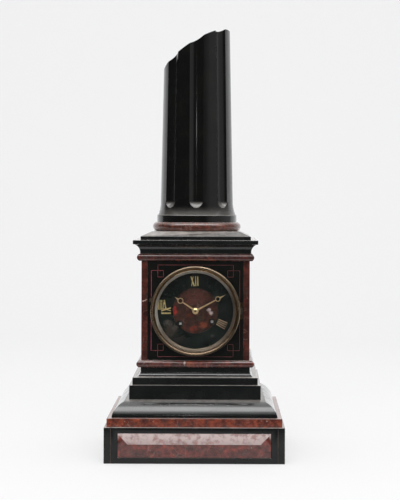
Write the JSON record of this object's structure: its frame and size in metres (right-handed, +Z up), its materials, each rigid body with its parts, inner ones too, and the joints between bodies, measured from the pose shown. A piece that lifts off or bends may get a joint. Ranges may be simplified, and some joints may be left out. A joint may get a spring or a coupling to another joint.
{
  "type": "column mantel clock",
  "caption": "Mantel clock of black slate and red marble: stepped moulded base, square case with a hinged round bezel, and a fluted column cut off at a slant on top.",
  "frame": {"origin": "middle of the underside of the base floor", "axes": "+Z up along the column, the dial faces -Y, +X to the viewer's right"},
  "size_m": [0.2336, 0.1996, 0.5733],
  "materials": {
    "black_slate": "polished black slate",
    "red_marble": "polished veined red marble",
    "dial_slate": "satin slate",
    "case_brass": "aged lacquered brass",
    "movement_brass": "brushed brass",
    "gilt": "gilt",
    "steel": "brushed steel",
    "bell_metal": "cast bell metal",
    "glass": "clear bevelled glass"
  },
  "bodies": {
    "case": {"base_front_slab": "black_slate", "base_cheeks": "black_slate", "base_back_slab": "black_slate", "base_floor": "black_slate", "base_panel": "red_marble", "red_band": "red_marble", "cushion_moulding": "black_slate", "plinth": "black_slate", "neck_moulding": "black_slate", "lower_torus": "red_marble", "case_cheeks": "red_marble", "case_front": "black_slate", "case_back": "black_slate", "upper_torus": "red_marble", "cornice": "black_slate", "cornice_cap": "black_slate", "column_torus": "red_marble", "column_shaft": "black_slate", "tie_rod": "steel", "chapter_ring": "dial_slate", "dial_centre": "red_marble", "bezel_seat": "case_brass", "back_ring": "case_brass", "hinge_pins": "steel", "movement_straps": "movement_brass", "numerals": "gilt", "ratchet_clicks": "steel", "front_plate": "movement_brass", "back_plate": "movement_brass", "plate_pillars": "movement_brass", "dial_posts": "movement_brass", "suspension_cock": "movement_brass", "bell": "bell_metal", "bell_stand": "movement_brass"},
    "bezel_door": {"bezel": "case_brass", "bezel_glass": "glass"},
    "back_door": {"back_door": "case_brass"},
    "minute_work": {"minute_hand": "gilt", "centre_arbor": "steel", "centre_wheel": "movement_brass", "cannon_pinion": "movement_brass"},
    "hour_work": {"hour_hand": "gilt", "hour_wheel": "movement_brass"},
    "motion_wheel": {"minute_wheel": "movement_brass"},
    "going_barrel": {"going_barrel": "movement_brass"},
    "second_mobile": {"second_wheel": "movement_brass"},
    "third_mobile": {"third_wheel": "movement_brass"},
    "escape_mobile": {"escape_wheel": "movement_brass"},
    "going_arbor": {"going_winding_arbor": "steel"},
    "strike_arbor": {"strike_winding_arbor": "steel"},
    "strike_barrel": {"strike_barrel": "movement_brass"},
    "strike_second_mobile": {"strike_second_wheel": "movement_brass"},
    "strike_third_mobile": {"strike_third_wheel": "movement_brass"},
    "fly": {"fly": "movement_brass"},
    "anchor": {"anchor": "steel", "crutch": "steel"},
    "pendulum": {"suspension_spring": "steel", "pendulum_rod": "steel", "pendulum_bob": "movement_brass"},
    "hammer": {"hammer": "steel"}
  },
  "joints": [
    {"name": "bezel_hinge", "type": "hinge", "parent": "case", "child": "bezel_door", "pos_m": [0.0608, -0.05125, 0.1935], "axis": [0, 0, 1], "range_deg": [0, 110]},
    {"name": "back_door_hinge", "type": "hinge", "parent": "case", "child": "back_door", "pos_m": [0.0533, 0.0969, 0.1935], "axis": [0, 0, -1], "range_deg": [0, 110]},
    {"name": "minute_turn", "type": "hinge", "parent": "case", "child": "minute_work", "pos_m": [0, -0.03515, 0.1935], "axis": [0, 1, 0], "continuous": true},
    {"name": "hour_turn", "type": "hinge", "parent": "case", "child": "hour_work", "pos_m": [0, -0.03515, 0.1935], "axis": [0, 1, 0], "continuous": true},
    {"name": "motion_turn", "type": "hinge", "parent": "case", "child": "motion_wheel", "pos_m": [0.00059, -0.03515, 0.18392], "axis": [0, 1, 0], "continuous": true},
    {"name": "going_barrel_turn", "type": "hinge", "parent": "case", "child": "going_barrel", "pos_m": [0.02194, -0.03515, 0.17881], "axis": [0, 1, 0], "continuous": true},
    {"name": "second_turn", "type": "hinge", "parent": "case", "child": "second_mobile", "pos_m": [0.01615, -0.03515, 0.19986], "axis": [0, 1, 0], "continuous": true},
    {"name": "third_turn", "type": "hinge", "parent": "case", "child": "third_mobile", "pos_m": [-0.01068, -0.03515, 0.20693], "axis": [0, 1, 0], "continuous": true},
    {"name": "escape_turn", "type": "hinge", "parent": "case", "child": "escape_mobile", "pos_m": [-0.00145, -0.03515, 0.21727], "axis": [0, 1, 0], "continuous": true},
    {"name": "going_winding", "type": "hinge", "parent": "case", "child": "going_arbor", "pos_m": [0.02194, -0.03515, 0.17881], "axis": [0, 1, 0], "continuous": true},
    {"name": "strike_winding", "type": "hinge", "parent": "case", "child": "strike_arbor", "pos_m": [-0.01998, -0.03515, 0.17625], "axis": [0, 1, 0], "continuous": true},
    {"name": "strike_barrel_turn", "type": "hinge", "parent": "case", "child": "strike_barrel", "pos_m": [-0.01998, -0.03515, 0.17625], "axis": [0, 1, 0], "continuous": true},
    {"name": "strike_second_turn", "type": "hinge", "parent": "case", "child": "strike_second_mobile", "pos_m": [-0.02508, -0.03515, 0.19748], "axis": [0, 1, 0], "continuous": true},
    {"name": "strike_third_turn", "type": "hinge", "parent": "case", "child": "strike_third_mobile", "pos_m": [-0.02585, -0.03515, 0.21006], "axis": [0, 1, 0], "continuous": true},
    {"name": "fly_turn", "type": "hinge", "parent": "case", "child": "fly", "pos_m": [-0.02192, -0.03515, 0.21795], "axis": [0, 1, 0], "continuous": true},
    {"name": "anchor_rock", "type": "hinge", "parent": "case", "child": "anchor", "pos_m": [-0.00224, -0.00315, 0.23005], "axis": [0, 1, 0], "range_deg": [-4, 4]},
    {"name": "pendulum_swing", "type": "hinge", "parent": "case", "child": "pendulum", "pos_m": [-0.00224, 0.00785, 0.23005], "axis": [0, 1, 0], "range_deg": [-4, 4]},
    {"name": "hammer_swing", "type": "hinge", "parent": "case", "child": "hammer", "pos_m": [-0.0362, 0.02485, 0.20381], "axis": [0, 1, 0], "range_deg": [0, 12], "stiffness_Nm_per_rad": 0.002, "springref_deg": -20.05}
  ],
  "couplings": [
    {"joint": "hour_turn", "follows": "minute_turn", "ratio": 0.083333},
    {"joint": "motion_turn", "follows": "minute_turn", "ratio": -0.33333},
    {"joint": "second_turn", "follows": "minute_turn", "ratio": -0.16667},
    {"joint": "going_barrel_turn", "follows": "minute_turn", "ratio": 0.027778},
    {"joint": "third_turn", "follows": "minute_turn", "ratio": -12},
    {"joint": "escape_turn", "follows": "minute_turn", "ratio": 120},
    {"joint": "strike_second_turn", "follows": "strike_barrel_turn", "ratio": -6},
    {"joint": "strike_third_turn", "follows": "strike_barrel_turn", "ratio": 36},
    {"joint": "fly_turn", "follows": "strike_barrel_turn", "ratio": -216},
    {"joint": "anchor_rock", "follows": "pendulum_swing", "ratio": 1}
  ]
}
